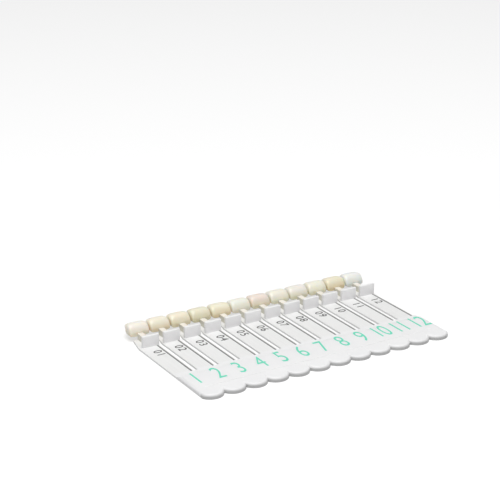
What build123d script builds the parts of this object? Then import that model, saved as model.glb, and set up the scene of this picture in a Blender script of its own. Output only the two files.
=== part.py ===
from build123d import *
import os

os.makedirs("parts", exist_ok=True)

# Dental shade guide: a flat frosted comb with twelve fingers, each holding one tooth sample.
# Millimetres. X runs along the comb, Y from the scalloped grip to the teeth, Z up from the table.

# Comb plan
tab_count = 12
tab_pitch = 9.0
slot_width = 1.7
grip_depth = 23.45
scallop_depth = 2.8
finger_length = 26.6
front_corner_radius = 2.0
back_corner_radius = 0.6

# Comb heights
strip_thickness = 1.8
finger_thickness = 0.8
land_length = 1.8
ramp_length = 2.7
nose_radius = 1.0

# Fine scored line across the grip
score_from_slots = 16.0
score_end_gap = 4.0
score_width = 0.35
score_depth = 0.1

# Upright wall at the end of each finger
wall_width = 6.9
wall_thickness = 1.1
wall_height = 4.5

# Shelf and tang behind each wall
shelf_length = 7.4
shelf_inset = 1.6
tang_width = 2.2
tang_underside = 2.3
tang_top = 3.3
tang_length = 3.6
tang_clearance = 0.05

# Tooth sample seen from the side: distances back from its front face, heights from the table
sample_length = 7.6
sample_underside = 2.0
underside_middle_back = 3.6
underside_middle = 1.9
collar_lean = 0.2
collar_height = 3.6
bulge_back = 0.8
bulge_height = 5.6
crest_back = 2.6
crest_height = 6.75
slope_back = 5.5
slope_height = 5.85
edge_top = 4.75
edge_bottom = 3.4

# Tooth sample seen from above
collar_width = 8.1
sample_width = 8.6
widest_back = 2.3
flank_width = 7.1
flank_back = 5.5
corner_width = 5.9
corner_back = 6.9
edge_width = 4.2

# Tooth sample seen from the front
base_width = 7.0
base_height = 1.6
waist_width = 8.8
waist_height = 3.9
top_width = 6.2
top_corner_height = 6.35

# Places worked out from the sizes above
strip_length = tab_count * tab_pitch
left_end = -strip_length / 2
overall_depth = (grip_depth + finger_length + wall_thickness + shelf_length + sample_length)
lobe_radius = ((tab_pitch / 2) ** 2 + scallop_depth ** 2) / (2 * scallop_depth)
grip_front = -overall_depth / 2
lobe_line = grip_front + lobe_radius
slot_end = grip_front + grip_depth
ramp_top = slot_end - land_length - ramp_length
wall_front = slot_end + finger_length
wall_back = wall_front + wall_thickness
sample_front = wall_back + shelf_length


def tab_centre(index):
    return left_end + (index + 0.5) * tab_pitch


def finger_right(index):
    return left_end + (index + 1) * tab_pitch - slot_width / 2


def finger_left(index):
    # The first finger is flush with the end of the strip
    if index == 0:
        return left_end
    return left_end + index * tab_pitch + slot_width / 2


# One moulding: grip strip, fingers, walls, shelves and tangs
with BuildPart() as comb:
    with BuildSketch(Plane.XY):
        with Locations((0, (lobe_line + slot_end) / 2)):
            Rectangle(strip_length, slot_end - lobe_line)
        with Locations(*[(tab_centre(index), lobe_line) for index in range(tab_count)]):
            Circle(lobe_radius)
        with Locations((0, slot_end)):
            Rectangle(strip_length, 2 * grip_depth, mode=Mode.INTERSECT)
        fillet(vertices().group_by(Axis.X)[0].sort_by(Axis.Y)[0], front_corner_radius)
        fillet(vertices().group_by(Axis.X)[-1].sort_by(Axis.Y)[0], front_corner_radius)
        fillet(vertices().group_by(Axis.X)[-1].sort_by(Axis.Y)[-1], back_corner_radius)
        for index in range(tab_count):
            with BuildLine():
                Polyline(
                    (finger_left(index), slot_end - land_length),
                    (finger_right(index), slot_end - land_length),
                    (finger_right(index), wall_back),
                    (finger_right(index) - shelf_inset, sample_front),
                    (finger_left(index) + shelf_inset, sample_front),
                    (finger_left(index), wall_back),
                    close=True,
                )
            make_face()
    extrude(amount=strip_thickness)

    # Thin fingers, with a soft ramp up to the thicker strip
    with BuildSketch(Plane.YZ):
        with BuildLine():
            Polyline(
                (ramp_top, strip_thickness),
                (slot_end - land_length, finger_thickness),
                (overall_depth, finger_thickness),
                (overall_depth, 2 * strip_thickness),
                (ramp_top, 2 * strip_thickness),
                close=True,
            )
        make_face()
    extrude(amount=strip_length, both=True, mode=Mode.SUBTRACT)

    # Rounded nose round the grip
    grip_edges = comb.edges().group_by(Axis.Z)[-1].filter_by(
        lambda edge: edge.center().Y < ramp_top - nose_radius)
    fillet(grip_edges, nose_radius)

    # Scored line
    with BuildSketch(Plane.XY.offset(strip_thickness)):
        with Locations((0, slot_end - score_from_slots)):
            Rectangle(strip_length - 2 * score_end_gap, score_width)
    extrude(amount=-score_depth, mode=Mode.SUBTRACT)

    # Walls that stand across the fingers
    for index in range(tab_count):
        wall_plane = Plane(origin=(finger_right(index) - wall_width / 2, wall_back, 0),
                           x_dir=(1, 0, 0), z_dir=(0, -1, 0))
        with BuildSketch(wall_plane):
            with Locations((0, finger_thickness + wall_height / 2)):
                Rectangle(wall_width, wall_height)
        extrude(amount=wall_thickness)

    # Tangs that carry the samples
    for index in range(tab_count):
        with BuildSketch(Plane.YZ.offset(tab_centre(index))):
            with BuildLine():
                Polyline(
                    (wall_back, finger_thickness),
                    (sample_front, finger_thickness),
                    (sample_front, tang_underside),
                    (sample_front + tang_length, tang_underside),
                    (sample_front + tang_length, tang_top),
                    (wall_back, tang_top),
                    close=True,
                )
            make_face()
        extrude(amount=tang_width / 2, both=True)

comb.part.label = "comb"
export_step(comb.part, "parts/comb.step")

# Tooth samples, each the meeting of its three outlines, with a socket that seats on its tang
for index in range(tab_count):
    centre = tab_centre(index)
    with BuildPart() as tooth:
        with BuildSketch(Plane(origin=(centre, sample_front, 0), x_dir=(0, 1, 0), z_dir=(1, 0, 0))):
            with BuildLine():
                Line((0, sample_underside), (collar_lean, collar_height))
                ThreePointArc((collar_lean, collar_height), (bulge_back, bulge_height),
                              (crest_back, crest_height))
                ThreePointArc((crest_back, crest_height), (slope_back, slope_height),
                              (sample_length, edge_top))
                Line((sample_length, edge_top), (sample_length, edge_bottom))
                ThreePointArc((sample_length, edge_bottom),
                              (underside_middle_back, underside_middle), (0, sample_underside))
            make_face()
        extrude(amount=sample_width, both=True)
        with BuildSketch(Plane(origin=(centre, sample_front, 0))):
            with BuildLine():
                ThreePointArc((collar_width / 2, 0), (sample_width / 2, widest_back),
                              (flank_width / 2, flank_back))
                ThreePointArc((flank_width / 2, flank_back), (corner_width / 2, corner_back),
                              (edge_width / 2, sample_length))
                mirror(about=Plane.YZ)
                Line((-collar_width / 2, 0), (collar_width / 2, 0))
                Line((edge_width / 2, sample_length), (-edge_width / 2, sample_length))
            make_face()
        extrude(amount=2 * crest_height, mode=Mode.INTERSECT)
        with BuildSketch(Plane(origin=(centre, sample_front, 0), x_dir=(1, 0, 0),
                               z_dir=(0, -1, 0))):
            with BuildLine():
                ThreePointArc((base_width / 2, base_height), (waist_width / 2, waist_height),
                              (top_width / 2, top_corner_height))
                mirror(about=Plane.YZ)
                Line((-base_width / 2, base_height), (base_width / 2, base_height))
                ThreePointArc((top_width / 2, top_corner_height), (0, crest_height),
                              (-top_width / 2, top_corner_height))
            make_face()
        extrude(amount=-sample_length, mode=Mode.INTERSECT)
        with BuildSketch(Plane(origin=(centre, sample_front, 0), x_dir=(1, 0, 0),
                               z_dir=(0, -1, 0))):
            with Locations((0, (tang_underside + tang_top) / 2)):
                Rectangle(tang_width + 2 * tang_clearance,
                          tang_top - tang_underside + 2 * tang_clearance)
        extrude(amount=-(tang_length + tang_clearance), mode=Mode.SUBTRACT)
    name = f"tooth_{index + 1:02d}"
    tooth.part.label = name
    export_step(tooth.part, f"parts/{name}.step")
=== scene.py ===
import math

import bmesh
import bpy
from mathutils import Matrix, Vector


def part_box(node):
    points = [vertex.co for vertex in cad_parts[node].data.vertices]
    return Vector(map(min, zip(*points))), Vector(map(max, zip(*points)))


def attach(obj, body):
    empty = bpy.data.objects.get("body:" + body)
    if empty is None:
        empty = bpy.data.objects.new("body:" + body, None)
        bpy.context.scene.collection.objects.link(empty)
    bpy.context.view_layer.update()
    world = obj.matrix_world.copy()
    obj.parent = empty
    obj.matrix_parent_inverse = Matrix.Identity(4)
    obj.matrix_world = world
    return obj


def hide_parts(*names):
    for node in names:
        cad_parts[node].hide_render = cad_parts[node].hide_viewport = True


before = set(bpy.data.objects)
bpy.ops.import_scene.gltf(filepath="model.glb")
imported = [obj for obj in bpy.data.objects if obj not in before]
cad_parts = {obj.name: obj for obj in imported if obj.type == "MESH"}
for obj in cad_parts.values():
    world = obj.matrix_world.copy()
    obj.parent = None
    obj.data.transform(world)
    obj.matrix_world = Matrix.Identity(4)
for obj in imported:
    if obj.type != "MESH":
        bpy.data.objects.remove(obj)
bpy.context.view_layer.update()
MM = 0.001

# Table, light and camera. The guide lies on a pale matt table under one large soft
# lamp and a white room, and is looked at from the left front corner of its grip.

CAMERA_FROM_CORNER = (-236.4, -420.7, 236.4)
CAMERA_TILT, CAMERA_TURN = 69.536, -31.145
LENS_MM, SENSOR_MM = 110.6, 36.0
TABLE_SIZE = 6.0
# The paint is a mid grey. The glow that makes it look pale is added for camera, glossy and
# transmission rays only, so it throws no light on the guide
TABLE_COLOUR, TABLE_GLOW = "#BCBCBC", 0.56
ROOM_STRENGTH, ROOM_SEEN = 0.38, 1.0
LAMP_PLACE, LAMP_SIZE, LAMP_POWER = (-0.18, -0.26, 1.0), 0.7, 8.3


def linear(hex_colour):
    # Linear colour with alpha from an sRGB hex value
    parts = [int(hex_colour[i:i + 2], 16) / 255 for i in (1, 3, 5)]
    return (*[p / 12.92 if p <= 0.04045 else ((p + 0.055) / 1.055) ** 2.4 for p in parts], 1.0)


def add_node(tree, kind, settings=None, **inputs):
    # Adds a node. An input is a plain value, or the socket that feeds it
    node = tree.nodes.new(kind)
    for key, value in (settings or {}).items():
        setattr(node, key, value)
    for key, value in inputs.items():
        index = int(key[1:]) if key[0] == "i" and key[1:].isdigit() else key.replace("_", " ")
        if isinstance(value, bpy.types.NodeSocket):
            tree.links.new(value, node.inputs[index])
        else:
            node.inputs[index].default_value = value
    return node


def new_material(name):
    material = bpy.data.materials.new(name)
    material.use_nodes = True
    material.node_tree.nodes.clear()
    return material, material.node_tree


matt_table, tree = new_material("matt_table_paint")
rays = add_node(tree, "ShaderNodeLightPath")
camera_or_glossy = add_node(tree, "ShaderNodeMath", {"operation": "MAXIMUM"},
                            i0=rays.outputs["Is Camera Ray"], i1=rays.outputs["Is Glossy Ray"])
seen = add_node(tree, "ShaderNodeMath", {"operation": "MAXIMUM"},
                i0=camera_or_glossy.outputs[0], i1=rays.outputs["Is Transmission Ray"])
paint = add_node(tree, "ShaderNodeBsdfDiffuse", Color=linear(TABLE_COLOUR))
glow_strength = add_node(tree, "ShaderNodeMath", {"operation": "MULTIPLY"},
                         i0=seen.outputs[0], i1=TABLE_GLOW)
glow = add_node(tree, "ShaderNodeEmission", Strength=glow_strength.outputs[0])
both = add_node(tree, "ShaderNodeAddShader", i0=paint.outputs[0], i1=glow.outputs[0])
add_node(tree, "ShaderNodeOutputMaterial", Surface=both.outputs[0])

table_mesh = bpy.data.meshes.new("table_top")
half = TABLE_SIZE / 2
table_mesh.from_pydata([(-half, -half, 0), (half, -half, 0), (half, half, 0), (-half, half, 0)],
                       [], [(0, 1, 2, 3)])
table_mesh.materials.append(matt_table)
table_top = bpy.data.objects.new("table_top", table_mesh)
bpy.context.scene.collection.objects.link(table_top)

room = bpy.data.worlds.new("white_room")
bpy.context.scene.world = room
room.use_nodes = True
tree = room.node_tree
tree.nodes.clear()
rays = add_node(tree, "ShaderNodeLightPath")
room_light = add_node(tree, "ShaderNodeBackground", Color=(1, 1, 1, 1), Strength=ROOM_STRENGTH)
room_seen = add_node(tree, "ShaderNodeBackground", Color=(1, 1, 1, 1), Strength=ROOM_SEEN)
room_mix = add_node(tree, "ShaderNodeMixShader", i0=rays.outputs["Is Camera Ray"],
                    i1=room_light.outputs[0], i2=room_seen.outputs[0])
add_node(tree, "ShaderNodeOutputWorld", Surface=room_mix.outputs[0])

lamp_data = bpy.data.lights.new("soft_lamp", "AREA")
lamp_data.size, lamp_data.energy = LAMP_SIZE, LAMP_POWER
lamp = bpy.data.objects.new("soft_lamp", lamp_data)
lamp.location = LAMP_PLACE
lamp.rotation_euler = (-Vector(LAMP_PLACE)).to_track_quat("-Z", "Y").to_euler()
bpy.context.scene.collection.objects.link(lamp)

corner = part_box("comb")[0]
camera_data = bpy.data.cameras.new("camera")
camera_data.lens, camera_data.sensor_width = LENS_MM, SENSOR_MM
camera = bpy.data.objects.new("camera", camera_data)
camera.location = [corner[i] + CAMERA_FROM_CORNER[i] * MM for i in range(3)]
camera.rotation_euler = (math.radians(CAMERA_TILT), 0, math.radians(CAMERA_TURN))
bpy.context.scene.collection.objects.link(camera)
bpy.context.scene.camera = camera
bpy.context.scene.view_settings.view_transform = "Standard"

# Comb: the grip, its twelve fingers, walls and tangs, one injection moulding in frosted
# white polypropylene.

PITCH, SLOT_WIDTH, GRIP_DEPTH = 9.0, 1.7, 23.45
# Width and colour of the dark line of painted shade along each finger's slot edge
EDGE_LINE, PAINTED_SLOT_SHADE = 0.34, "#747473"
CLOUD_SIZE, GRAIN_SIZE = 25 / 3, 0.4
FLOW_SIZE = (0.625, 50 / 3, 2.5)
FINGER_TINT_LENGTH = 1.5
NOSE_START, NOSE_END, NOSE_TOP, NOSE_LOW = 4.2, 3.6, 1.79, 0.9
SIDE_FACE, FINGER_THICKNESS, WALL_FRONT = 0.06, 0.8, 50.05
LINE_SOFTNESS, LINE_BELOW, SIDE_CLEAR = 0.9, 1.0, 0.02
comb_low, comb_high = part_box("comb")
slot_end = comb_low[1] + GRIP_DEPTH * MM


def pattern_scale(size):
    # Noise scale for a pattern whose features are this many millimetres
    return 1 / (size * MM)


# Frosted polypropylene scatters light softly. The thin fingers are painted a shade greyer than
# the grip, a painted shade for the table seen through them, and a dark line of painted shade
# runs along each finger's edge at the slot that follows it
frosted, tree = new_material("frosted_polypropylene")
place = add_node(tree, "ShaderNodeTexCoord")
parts = add_node(tree, "ShaderNodeSeparateXYZ", Vector=place.outputs["Object"])
cloud = add_node(tree, "ShaderNodeTexNoise", Vector=place.outputs["Object"],
                 Scale=pattern_scale(CLOUD_SIZE), Detail=3.0)
tint = add_node(tree, "ShaderNodeMix", {"data_type": "RGBA"}, i0=cloud.outputs["Fac"],
                i6=linear("#F0F0F1"), i7=linear("#F6F6F6"))
# Flow lines of the melt run along the fingers, about 0.6 mm apart. Their tones are painted a
# shade greyer than the grip's, as painted shade for the table seen through the thin plastic
stretch = add_node(tree, "ShaderNodeMapping", Vector=place.outputs["Object"],
                   Scale=[pattern_scale(size) for size in FLOW_SIZE])
flow = add_node(tree, "ShaderNodeTexNoise", Vector=stretch.outputs[0], Scale=1.0, Detail=1.0)
flow_lines_painted_grey = add_node(tree, "ShaderNodeMix", {"data_type": "RGBA"}, i0=flow.outputs["Fac"],
                     i6=linear("#ECECEB"), i7=linear("#F4F4F3"))
on_fingers = add_node(tree, "ShaderNodeMapRange", Value=parts.outputs["Y"], From_Min=slot_end,
                      From_Max=slot_end + FINGER_TINT_LENGTH * MM)
body_tint = add_node(tree, "ShaderNodeMix", {"data_type": "RGBA"}, i0=on_fingers.outputs[0],
                     i6=tint.outputs[2], i7=flow_lines_painted_grey.outputs[2])
across = add_node(tree, "ShaderNodeMath", {"operation": "SUBTRACT"}, i0=parts.outputs["X"],
                  i1=comb_low[0])
in_pitch = add_node(tree, "ShaderNodeMath", {"operation": "FLOORED_MODULO"}, i0=across.outputs[0],
                    i1=PITCH * MM)
to_edge = add_node(tree, "ShaderNodeMath", {"operation": "SUBTRACT"},
                   i0=(PITCH - SLOT_WIDTH) * MM, i1=in_pitch.outputs[0])
from_edge = add_node(tree, "ShaderNodeMath", {"operation": "ABSOLUTE"},
                     i0=to_edge.outputs[0])
painted_shade_line = add_node(tree, "ShaderNodeMapRange", Value=from_edge.outputs[0],
                     From_Min=EDGE_LINE * MM, From_Max=EDGE_LINE * MM * LINE_SOFTNESS)
# The side of each finger towards the first one is painted white, a painted highlight for
# light passing into the plastic
left_side = add_node(tree, "ShaderNodeMath", {"operation": "LESS_THAN"}, i0=in_pitch.outputs[0],
                     i1=SIDE_FACE * MM)
top_only = add_node(tree, "ShaderNodeMath", {"operation": "LESS_THAN"}, i0=parts.outputs["Z"],
                    i1=LINE_BELOW * MM)
behind_grip = add_node(tree, "ShaderNodeMath", {"operation": "GREATER_THAN"}, i0=parts.outputs["Y"],
                       i1=slot_end)
on_edge = add_node(tree, "ShaderNodeMath", {"operation": "MULTIPLY"}, i0=painted_shade_line.outputs[0],
                   i1=top_only.outputs[0])
before_wall = add_node(tree, "ShaderNodeMath", {"operation": "LESS_THAN"}, i0=parts.outputs["Y"],
                       i1=comb_low[1] + WALL_FRONT * MM)
on_finger = add_node(tree, "ShaderNodeMath", {"operation": "MULTIPLY"}, i0=behind_grip.outputs[0],
                     i1=before_wall.outputs[0])
on_painted_slot_line = add_node(tree, "ShaderNodeMath", {"operation": "MULTIPLY"}, i0=on_edge.outputs[0],
                   i1=on_finger.outputs[0])
below_finger_top = add_node(tree, "ShaderNodeMath", {"operation": "LESS_THAN"},
                            i0=parts.outputs["Z"], i1=(FINGER_THICKNESS - SIDE_CLEAR) * MM)
side_low = add_node(tree, "ShaderNodeMath", {"operation": "MULTIPLY"}, i0=left_side.outputs[0],
                    i1=below_finger_top.outputs[0])
on_side = add_node(tree, "ShaderNodeMath", {"operation": "MULTIPLY"}, i0=side_low.outputs[0],
                   i1=behind_grip.outputs[0])
painted_side_highlight = add_node(tree, "ShaderNodeMix", {"data_type": "RGBA"}, i0=on_side.outputs[0],
                     i6=body_tint.outputs[2], i7=linear("#FFFFFF"))
# The thick rounded noses of the lobes are painted greyer, a painted shade where they turn
# away from the light
below_top = add_node(tree, "ShaderNodeMapRange", Value=parts.outputs["Z"], From_Min=NOSE_TOP * MM,
                     From_Max=NOSE_LOW * MM)
near_front = add_node(tree, "ShaderNodeMapRange", Value=parts.outputs["Y"],
                      From_Min=comb_low[1] + NOSE_START * MM,
                      From_Max=comb_low[1] + NOSE_END * MM)
on_nose = add_node(tree, "ShaderNodeMath", {"operation": "MULTIPLY"}, i0=below_top.outputs[0],
                   i1=near_front.outputs[0])
nose_painted_shade = add_node(tree, "ShaderNodeMix", {"data_type": "RGBA"}, i0=on_nose.outputs[0],
                     i6=painted_side_highlight.outputs[2], i7=linear("#CACACA"))
# Painted shade: the dark line along each finger's edge at its slot
colour = add_node(tree, "ShaderNodeMix", {"data_type": "RGBA"}, i0=on_painted_slot_line.outputs[0],
                  i6=nose_painted_shade.outputs[2], i7=linear(PAINTED_SLOT_SHADE))
# The grain of the frosting is far too fine to show, and is drawn 0.4 mm wide so that it does
grain = add_node(tree, "ShaderNodeTexNoise", Vector=place.outputs["Object"],
                 Scale=pattern_scale(GRAIN_SIZE), Detail=2.0)
bump = add_node(tree, "ShaderNodeBump", Height=grain.outputs["Fac"], Strength=0.08, Distance=0.0002)
plastic = add_node(tree, "ShaderNodeBsdfPrincipled", Base_Color=colour.outputs[2], Roughness=0.42,
                   IOR=1.49, Normal=bump.outputs[0], Subsurface_Weight=0.3,
                   Subsurface_Radius=(1.0, 1.0, 1.0), Subsurface_Scale=0.001)
add_node(tree, "ShaderNodeOutputMaterial", Surface=plastic.outputs[0])

# The uprights are the same plastic seen through its thin section. For the light that gathers
# in them they are painted lighter than the rest and lighter towards the top, with a painted
# highlight as a bright line along the top
UPRIGHT_FROM, RIM_HEIGHT, UPRIGHT_CLOUD = 1.85, 0.45, 20 / 7
WALL_TOP, WALL_BACK, TANG_TOP = 5.3, 51.15, 3.3
TANG_BLEND, TANG_SHADED, TANG_PALE = 1.0, 0.45, 0.1
upright_plastic, tree = new_material("frosted_polypropylene_upright")
place = add_node(tree, "ShaderNodeTexCoord")
parts = add_node(tree, "ShaderNodeSeparateXYZ", Vector=place.outputs["Object"])
cloud = add_node(tree, "ShaderNodeTexNoise", Vector=place.outputs["Object"],
                 Scale=pattern_scale(UPRIGHT_CLOUD), Detail=2.0)
tint = add_node(tree, "ShaderNodeMix", {"data_type": "RGBA"}, i0=cloud.outputs["Fac"],
                i6=linear("#F8F7F9"), i7=linear("#FEFEFE"))
# Painted highlight along the top of each wall, over painted light that rises from its foot
rim = add_node(tree, "ShaderNodeMapRange", Value=parts.outputs["Z"],
               From_Min=(WALL_TOP - RIM_HEIGHT) * MM, From_Max=WALL_TOP * MM)
rising = add_node(tree, "ShaderNodeMapRange", Value=parts.outputs["Z"],
                  From_Min=UPRIGHT_FROM * MM, From_Max=(WALL_TOP - RIM_HEIGHT) * MM)
painted_upward_light = add_node(tree, "ShaderNodeMix", {"data_type": "RGBA"}, i0=rising.outputs[0],
                  i6=linear("#EEEDEE"), i7=tint.outputs[2])
painted_rim_highlight = add_node(tree, "ShaderNodeMix", {"data_type": "RGBA"}, i0=rim.outputs[0],
                  i6=painted_upward_light.outputs[2], i7=linear("#FFFFFF"))
# The tangs are painted darker low down and paler near their tops, a painted shade and
# reflected colour from the samples above them
behind_wall = add_node(tree, "ShaderNodeMapRange", Value=parts.outputs["Y"],
                       From_Min=comb_low[1] + WALL_BACK * MM,
                       From_Max=comb_low[1] + (WALL_BACK + TANG_BLEND) * MM)
up_tang = add_node(tree, "ShaderNodeMapRange", Value=parts.outputs["Z"],
                   From_Min=(TANG_TOP - TANG_SHADED) * MM,
                   From_Max=(TANG_TOP - TANG_PALE) * MM)
tang_painted_shade = add_node(tree, "ShaderNodeMix", {"data_type": "RGBA"}, i0=up_tang.outputs[0],
                     i6=linear("#DCDACE"), i7=linear("#F2EDE3"))
colour = add_node(tree, "ShaderNodeMix", {"data_type": "RGBA"}, i0=behind_wall.outputs[0],
                  i6=painted_rim_highlight.outputs[2], i7=tang_painted_shade.outputs[2])
plastic = add_node(tree, "ShaderNodeBsdfPrincipled", Base_Color=colour.outputs[2], Roughness=0.28,
                   IOR=1.49, Subsurface_Weight=0.35, Subsurface_Radius=(1.0, 1.0, 1.0),
                   Subsurface_Scale=0.001)
add_node(tree, "ShaderNodeOutputMaterial", Surface=plastic.outputs[0])

# The moulding is a copy of the solid, with the notch between neighbouring lobes cut to its
# true form, where two rounded noses meet in a crease, and its sharp edges eased
SCALLOP_DEPTH = 2.8
LOBE_RADIUS = ((PITCH / 2) ** 2 + SCALLOP_DEPTH ** 2) / (2 * SCALLOP_DEPTH)
GRIP_TOP, NOSE_RADIUS = 1.8, 1.0
LOBE_COUNT = 12
NOTCH_HALF_WIDTH, NOTCH_STEPS = 1.2, 24
NOTCH_BACK, NOTCH_FRONT, NOTCH_ROWS = 0.0, -2.6, 26
NOTCH_CLEARANCE, NOTCH_LID = 0.02, 1.0
EDGE_EASE, EDGE_ANGLE, SHADE_ANGLE = 0.14, 50.0, 35.0
GROOVE_PLACE, GROOVE_CLEAR = 7.45, 1.0
MERGE_DISTANCE, FLAT_ANGLE = 0.001, 0.3
lobe_line = comb_low[1] + LOBE_RADIUS * MM


def nose_height(across, back):
    # Height of a lobe's rounded nose, measured from the boundary between two lobes
    reach = math.hypot(PITCH / 2 - abs(across), back)
    into_nose = reach - (LOBE_RADIUS - NOSE_RADIUS)
    # Over the flat top the cutter stays clear of the plastic
    if into_nose <= 0:
        return GRIP_TOP + NOTCH_CLEARANCE * 2
    drop = min(into_nose, NOSE_RADIUS)
    return GRIP_TOP - NOSE_RADIUS + math.sqrt(NOSE_RADIUS ** 2 - drop ** 2) + NOTCH_CLEARANCE


def notch_cutter():
    # Closed block whose underside is the crease between two noses
    mesh = bmesh.new()
    layers = []
    for lid in (False, True):
        layers.append([[mesh.verts.new((
            across * MM, back * MM,
            (GRIP_TOP + NOTCH_LID if lid else nose_height(across, back)) * MM))
            for across in [NOTCH_HALF_WIDTH * (2 * i / NOTCH_STEPS - 1)
                           for i in range(NOTCH_STEPS + 1)]]
            for back in [NOTCH_FRONT + (NOTCH_BACK - NOTCH_FRONT) * j / NOTCH_ROWS
                         for j in range(NOTCH_ROWS + 1)]])
    for layer in layers:
        for j in range(NOTCH_ROWS):
            for i in range(NOTCH_STEPS):
                mesh.faces.new((layer[j][i], layer[j][i + 1], layer[j + 1][i + 1], layer[j + 1][i]))
    low_layer, lid_layer = layers
    rim = ([(0, i) for i in range(NOTCH_STEPS)] + [(j, NOTCH_STEPS) for j in range(NOTCH_ROWS)]
           + [(NOTCH_ROWS, i) for i in range(NOTCH_STEPS, 0, -1)]
           + [(j, 0) for j in range(NOTCH_ROWS, 0, -1)])
    for (j, i), (next_j, next_i) in zip(rim, rim[1:] + rim[:1]):
        mesh.faces.new((low_layer[j][i], low_layer[next_j][next_i],
                        lid_layer[next_j][next_i], lid_layer[j][i]))
    bmesh.ops.recalc_face_normals(mesh, faces=mesh.faces)
    data = bpy.data.meshes.new("notch_cutter")
    mesh.to_mesh(data)
    mesh.free()
    cutter = bpy.data.objects.new("notch_cutter", data)
    bpy.context.scene.collection.objects.link(cutter)
    return cutter


def new_geometry_tree(name, inputs):
    # Geometry tree with one geometry input, the named inputs given, and one geometry output
    tree = bpy.data.node_groups.new(name, "GeometryNodeTree")
    tree.interface.new_socket("Geometry", in_out="INPUT", socket_type="NodeSocketGeometry")
    for label, kind in inputs:
        tree.interface.new_socket(label, in_out="INPUT", socket_type="NodeSocket" + kind)
    tree.interface.new_socket("Geometry", in_out="OUTPUT", socket_type="NodeSocketGeometry")
    return tree, tree.nodes.new("NodeGroupInput"), tree.nodes.new("NodeGroupOutput")


def bake_tree(piece, tree, values):
    # Sets the named inputs, turns the result into a plain mesh and drops the modifier
    modifier = piece.modifiers.new(tree.name, "NODES")
    modifier.node_group = tree
    for socket in tree.interface.items_tree:
        if socket.item_type == "SOCKET" and socket.in_out == "INPUT" and socket.name in values:
            modifier[socket.identifier] = values[socket.name]
    bpy.context.view_layer.update()
    depsgraph = bpy.context.evaluated_depsgraph_get()
    baked = bpy.data.meshes.new_from_object(piece.evaluated_get(depsgraph), depsgraph=depsgraph)
    piece.modifiers.remove(modifier)
    piece.data = baked
    baked.name = piece.name


notches, given, result = new_geometry_tree("lobe_notches", (
    ("Cutter", "Object"), ("Count", "Int"), ("First Place", "Vector"), ("Pitch", "Vector"),
    ("Plastic", "Material")))
row = add_node(notches, "GeometryNodeMeshLine", Count=given.outputs["Count"],
               Start_Location=given.outputs["First Place"], Offset=given.outputs["Pitch"])
block = add_node(notches, "GeometryNodeObjectInfo", Object=given.outputs["Cutter"])
blocks = add_node(notches, "GeometryNodeInstanceOnPoints", Points=row.outputs[0],
                  Instance=block.outputs["Geometry"])
loose = add_node(notches, "GeometryNodeRealizeInstances", Geometry=blocks.outputs[0])
cut = add_node(notches, "GeometryNodeMeshBoolean", {"operation": "DIFFERENCE", "solver": "EXACT"},
               i0=given.outputs["Geometry"], i1=loose.outputs[0])
whole = add_node(notches, "GeometryNodeRealizeInstances", Geometry=cut.outputs[0])
coated = add_node(notches, "GeometryNodeSetMaterial", Geometry=whole.outputs[0],
                  Material=given.outputs["Plastic"])
notches.links.new(coated.outputs[0], result.inputs[0])

moulding_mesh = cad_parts["comb"].data.copy()
shell = bmesh.new()
shell.from_mesh(moulding_mesh)
bmesh.ops.remove_doubles(shell, verts=shell.verts, dist=MERGE_DISTANCE * MM)
bmesh.ops.dissolve_limit(shell, angle_limit=math.radians(FLAT_ANGLE), verts=shell.verts,
                         edges=shell.edges)
shell.to_mesh(moulding_mesh)
shell.free()
moulding_mesh.materials.clear()
moulding = bpy.data.objects.new("moulded_comb", moulding_mesh)
bpy.context.scene.collection.objects.link(moulding)
cutter = notch_cutter()
bake_tree(moulding, notches, {
    "Cutter": cutter, "Count": LOBE_COUNT - 1,
    "First Place": (comb_low[0] + PITCH * MM, lobe_line, 0.0), "Pitch": (PITCH * MM, 0.0, 0.0),
    "Plastic": frosted})
bpy.data.objects.remove(cutter)

# Edges behind the groove are eased. The groove and the lobes keep their own form
shell = bmesh.new()
shell.from_mesh(moulding.data)
bmesh.ops.remove_doubles(shell, verts=shell.verts, dist=MERGE_DISTANCE * MM)
weight = shell.edges.layers.float.new("bevel_weight_edge")
groove_line = comb_low[1] + GROOVE_PLACE * MM
for edge in shell.edges:
    middle = (edge.verts[0].co + edge.verts[1].co) / 2
    sharp = len(edge.link_faces) == 2 and edge.calc_face_angle() > math.radians(EDGE_ANGLE)
    if sharp and middle.y > groove_line + GROOVE_CLEAR * MM:
        edge[weight] = 1.0
for face in shell.faces:
    middle = face.calc_center_median()
    face.material_index = int(middle.z > UPRIGHT_FROM * MM and middle.y > slot_end)
moulding.data.materials.clear()
moulding.data.materials.append(frosted)
moulding.data.materials.append(upright_plastic)
shell.to_mesh(moulding.data)
shell.free()
eased = moulding.modifiers.new("eased_edges", "BEVEL")
eased.width, eased.segments, eased.limit_method = EDGE_EASE * MM, 2, "WEIGHT"
eased.use_clamp_overlap = True
moulding.data.shade_smooth()
moulding.data.set_sharp_from_angle(angle=math.radians(SHADE_ANGLE))
flat_faces = moulding.modifiers.new("flat_faces", "WEIGHTED_NORMAL")
flat_faces.keep_sharp = True
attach(moulding, "root")
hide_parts("comb")

# Tooth samples: twelve solid teeth of light-cured composite resin, moulded and polished,
# each bonded on the tang of its finger.

# Body and neck colour of each sample. The neck colour is partly the resin's own warmer tone and
# partly painted shade
SAMPLE_SHADES = (
    ("#F8F0E6", "#F3EAD2"), ("#F5EEDC", "#EAD9B8"), ("#F3ECD8", "#EADDBA"),
    ("#EDE8D2", "#E0D8B4"), ("#F2EDD8", "#ECD9B0"), ("#F3F2E6", "#EFE9D6"),
    ("#F0E4DA", "#E9E2C0"), ("#F3F0E4", "#F0ECD0"), ("#F2EEE6", "#E9E4C4"),
    ("#F3F1E2", "#EEE9CC"), ("#EFE9D2", "#EAD6AA"), ("#F2F4EE", "#E6E9E2"),
)
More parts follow.
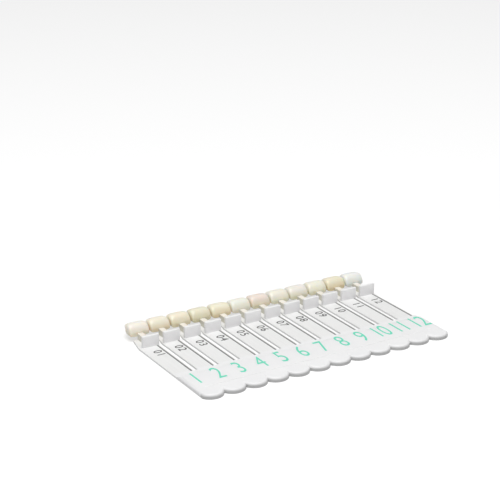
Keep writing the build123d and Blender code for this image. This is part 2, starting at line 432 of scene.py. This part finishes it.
# Stations from the collar to the biting edge: distance back, half width, widest height,
# top and underside, as parts of the sample's own length, half width and height
TOOTH_STATIONS = (
    (0.000, 0.935, 0.22, 0.40, 0.045),
    (0.050, 0.955, 0.28, 0.62, 0.04),
    (0.105, 0.970, 0.33, 0.775, 0.035),
    (0.210, 0.992, 0.38, 0.93, 0.03),
    (0.342, 1.000, 0.42, 1.00, 0.02),
    (0.526, 0.965, 0.44, 0.955, 0.03),
    (0.724, 0.850, 0.45, 0.84, 0.11),
    (0.908, 0.715, 0.46, 0.70, 0.24),
    (1.000, 0.600, 0.46, 0.61, 0.33),
)
# Rounding of the collar's rim and of the biting edge: distance in from the end, scale
COLLAR_RIM = ((0.0, 0.93), (0.004, 0.965), (0.012, 0.988), (0.025, 1.0))
BITING_RIM = ((0.12, 1.0), (0.06, 0.975), (0.03, 0.93), (0.01, 0.86), (0.0, 0.76))
TOOTH_ROWS, RING_POINTS, SIDE_ROUNDNESS = 26, 64, 4.0
CAP_RINGS, LAST_PLACE = (0.75, 0.45), 0.9999
# The neck colour ends and the body colour starts at these parts of a sample's height
NECK_HEIGHT, BODY_HEIGHT = 0.05, 0.75
RIPPLE_SIZE = 10 / 9


def station_at(place):
    # Smooth values between the stations, by a cubic through four of them
    last = len(TOOTH_STATIONS) - 1
    k = max(i for i in range(last) if TOOTH_STATIONS[i][0] <= place)
    before, start, stop, after = (TOOTH_STATIONS[min(max(k + i, 0), last)] for i in (-1, 0, 1, 2))
    gap = stop[0] - start[0]
    t = (place - start[0]) / gap
    values = []
    for i in range(1, 5):
        slope_in = (stop[i] - before[i]) / (stop[0] - before[0]) * gap
        slope_out = (after[i] - start[i]) / (after[0] - start[0]) * gap
        values.append((2 * t ** 3 - 3 * t ** 2 + 1) * start[i]
                      + (t ** 3 - 2 * t ** 2 + t) * slope_in
                      + (3 * t ** 2 - 2 * t ** 3) * stop[i] + (t ** 3 - t ** 2) * slope_out)
    return values


def tooth_form(low, high):
    # Closed form of rings inside the box of one sample's solid
    mesh = bmesh.new()
    middle, half_width = (low[0] + high[0]) / 2, (high[0] - low[0]) / 2
    length, height = high[1] - low[1], high[2] - low[2]
    first, last = COLLAR_RIM[-1][0], 1 - BITING_RIM[0][0]
    places = ([(back, scale) for back, scale in COLLAR_RIM]
              + [(first + (last - first) * k / TOOTH_ROWS, 1.0) for k in range(1, TOOTH_ROWS)]
              + [(1 - inward, scale) for inward, scale in BITING_RIM])
    places = ([(0.0, COLLAR_RIM[0][1] * cap) for cap in reversed(CAP_RINGS)] + places
              + [(1.0, BITING_RIM[-1][1] * cap) for cap in CAP_RINGS])
    rings = []
    for back, scale in places:
        wide, side, top, under = station_at(min(back, LAST_PLACE))
        ring = []
        for k in range(RING_POINTS):
            turn = 2 * math.pi * (k + 0.5) / RING_POINTS
            across, up = math.cos(turn), math.sin(turn)
            across = math.copysign(abs(across) ** (2 / SIDE_ROUNDNESS), across)
            up = math.copysign(abs(up) ** (2 / SIDE_ROUNDNESS), up)
            centre_height = (top + under) / 2
            tall = side + up * ((top - side) if up > 0 else (side - under))
            tall = centre_height + (tall - centre_height) * scale
            ring.append(mesh.verts.new((middle + across * wide * scale * half_width,
                                        low[1] + back * length, low[2] + tall * height)))
        rings.append(ring)
    for front, behind in zip(rings, rings[1:]):
        for k in range(RING_POINTS):
            j = (k + 1) % RING_POINTS
            mesh.faces.new((front[k], behind[k], behind[j], front[j]))
    for ring in (rings[0], rings[-1]):
        centre = mesh.verts.new(sum((v.co for v in ring), Vector()) / RING_POINTS)
        for k in range(RING_POINTS):
            mesh.faces.new((centre, ring[k], ring[(k + 1) % RING_POINTS]))
    bmesh.ops.recalc_face_normals(mesh, faces=mesh.faces)
    data = bpy.data.meshes.new("tooth_form")
    mesh.to_mesh(data)
    mesh.free()
    return data


# Hand finishing leaves a slight wave. It only moves inward, to stay inside the solid's box
hand_finish, given, result = new_geometry_tree("hand_finish", (
    ("Wave Height", "Float"), ("Wave Size", "Float"), ("Seed", "Float"), ("Resin", "Material")))
where = add_node(hand_finish, "GeometryNodeInputPosition")
facing = add_node(hand_finish, "GeometryNodeInputNormal")
scale = add_node(hand_finish, "ShaderNodeMath", {"operation": "DIVIDE"}, i0=1.0,
                 i1=given.outputs["Wave Size"])
wave = add_node(hand_finish, "ShaderNodeTexNoise", {"noise_dimensions": "4D"},
                W=given.outputs["Seed"], Vector=where.outputs[0], Scale=scale.outputs[0],
                Detail=1.0)
inward = add_node(hand_finish, "ShaderNodeMath", {"operation": "SUBTRACT"},
                   i0=wave.outputs[0], i1=1.0)
rise = add_node(hand_finish, "ShaderNodeMath", {"operation": "MULTIPLY"},
                i0=inward.outputs[0], i1=given.outputs["Wave Height"])
shift = add_node(hand_finish, "ShaderNodeVectorMath", {"operation": "SCALE"},
                 i0=facing.outputs[0], Scale=rise.outputs[0])
moved = add_node(hand_finish, "GeometryNodeSetPosition", Geometry=given.outputs["Geometry"],
                 Offset=shift.outputs[0])
smooth = add_node(hand_finish, "GeometryNodeSetShadeSmooth", Geometry=moved.outputs[0])
whole = add_node(hand_finish, "GeometryNodeRealizeInstances", Geometry=smooth.outputs[0])
coated = add_node(hand_finish, "GeometryNodeSetMaterial", Geometry=whole.outputs[0],
                  Material=given.outputs["Resin"])
hand_finish.links.new(coated.outputs[0], result.inputs[0])
WAVE_HEIGHT, WAVE_SIZE = 0.08, 3.0

# Composite resin lets a little light in and has a soft polish with a faint ripple. Each
# sample is warmer and darker low down than along its top, partly its own neck colour and
# partly painted shade
for number, (body_colour, neck_colour_and_shade) in enumerate(SAMPLE_SHADES, 1):
    node_name = f"tooth_{number:02d}"
    low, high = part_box(node_name)
    resin, tree = new_material(f"composite_resin_{number:02d}")
    place = add_node(tree, "ShaderNodeTexCoord")
    parts = add_node(tree, "ShaderNodeSeparateXYZ", Vector=place.outputs["Object"])
    along = add_node(tree, "ShaderNodeMapRange", Value=parts.outputs["Z"],
                     From_Min=low[2] + NECK_HEIGHT * (high[2] - low[2]),
                     From_Max=low[2] + BODY_HEIGHT * (high[2] - low[2]))
    tint = add_node(tree, "ShaderNodeMix", {"data_type": "RGBA"}, i0=along.outputs[0],
                    i6=linear(neck_colour_and_shade), i7=linear(body_colour))
    ripple = add_node(tree, "ShaderNodeTexNoise", Vector=place.outputs["Object"],
                      Scale=pattern_scale(RIPPLE_SIZE))
    bump = add_node(tree, "ShaderNodeBump", Height=ripple.outputs["Fac"], Strength=0.05,
                    Distance=0.0002)
    shader = add_node(tree, "ShaderNodeBsdfPrincipled", Base_Color=tint.outputs[2],
                      Roughness=0.3, IOR=1.52, Normal=bump.outputs[0], Subsurface_Weight=0.8,
                      Subsurface_Radius=(1.0, 0.85, 0.7), Subsurface_Scale=0.0015)
    add_node(tree, "ShaderNodeOutputMaterial", Surface=shader.outputs[0])
    sample = bpy.data.objects.new(f"composite_tooth_{number:02d}", tooth_form(low, high))
    bpy.context.scene.collection.objects.link(sample)
    bake_tree(sample, hand_finish, {
        "Wave Height": WAVE_HEIGHT * MM, "Wave Size": WAVE_SIZE * MM, "Seed": float(number),
        "Resin": resin})
    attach(sample, "root")
    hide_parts(node_name)

# Printed numbers: pad-printed ink, black and small along each finger, and mint green
# and large across the grip.

INK_LIFT, INK_FADE, FILM_SIZE = 0.02, 0.88, 2 / 3
FINGER_SIZE, FINGER_SPACING, FINGER_PLACE = 4.8, 1.2, 2.2
GRIP_SIZE, GRIP_SPACING, GRIP_PLACE = 13.2, 0.92, -0.95
GRIP_NARROWING, GRIP_THINNING = 0.6, -0.05


def ink_material(name, colour):
    # Pad-printing ink is a thin matt film, a little uneven in strength
    ink, tree = new_material(name)
    place = add_node(tree, "ShaderNodeTexCoord")
    film = add_node(tree, "ShaderNodeTexNoise", Vector=place.outputs["Object"],
                    Scale=pattern_scale(FILM_SIZE))
    tone = add_node(tree, "ShaderNodeMix", {"data_type": "RGBA"}, i0=film.outputs["Fac"],
                    i6=linear(colour), i7=[c * INK_FADE for c in linear(colour)[:3]] + [1.0])
    shader = add_node(tree, "ShaderNodeBsdfPrincipled", Base_Color=tone.outputs[2], Roughness=0.5)
    add_node(tree, "ShaderNodeOutputMaterial", Surface=shader.outputs[0])
    return ink


def printed_row(name, ink, size, narrowing, thinning, spacing, words, places, turn, top):
    # Joins a row of words, each flat on the plastic at its own place, into one piece
    joined = bmesh.new()
    for word, (x, y) in zip(words, places):
        curve = bpy.data.curves.new("digits", "FONT")
        curve.body, curve.size, curve.offset = word, size * MM, thinning * MM
        curve.space_character = spacing
        curve.align_x, curve.align_y = "CENTER", "CENTER"
        curve.extrude = INK_LIFT * MM / 2
        source = bpy.data.objects.new("digits", curve)
        bpy.context.scene.collection.objects.link(source)
        bpy.context.view_layer.update()
        mesh = bpy.data.meshes.new_from_object(source)
        mesh.transform(Matrix.Translation((x, y, (top + INK_LIFT / 2) * MM))
                       @ Matrix.Rotation(turn, 4, "Z") @ Matrix.Diagonal((narrowing, 1, 1, 1)))
        joined.from_mesh(mesh)
        bpy.data.objects.remove(source)
    bmesh.ops.remove_doubles(joined, verts=joined.verts, dist=MERGE_DISTANCE * MM)
    mesh = bpy.data.meshes.new(name)
    joined.to_mesh(mesh)
    joined.free()
    mesh.materials.append(ink)
    piece = bpy.data.objects.new(name, mesh)
    bpy.context.scene.collection.objects.link(piece)
    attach(piece, "root")


pitch = (comb_high[0] - comb_low[0]) / len(SAMPLE_SHADES)
centres = [comb_low[0] + (k + 0.5) * pitch for k in range(len(SAMPLE_SHADES))]
sample_numbers = range(1, len(SAMPLE_SHADES) + 1)
printed_row("finger_numbers", ink_material("black_printing_ink", "#0B0B0D"), FINGER_SIZE, 1.0, 0.0,
            FINGER_SPACING, [f"{k:02d}" for k in sample_numbers],
            [(x, slot_end + FINGER_PLACE * pitch) for x in centres], -math.pi / 2,
            FINGER_THICKNESS)
printed_row("grip_numbers", ink_material("mint_printing_ink", "#6FE6C6"), GRIP_SIZE,
            GRIP_NARROWING, GRIP_THINNING, GRIP_SPACING,
            [str(k) for k in sample_numbers],
            [(x, slot_end + GRIP_PLACE * pitch) for x in centres], 0.0, GRIP_TOP)
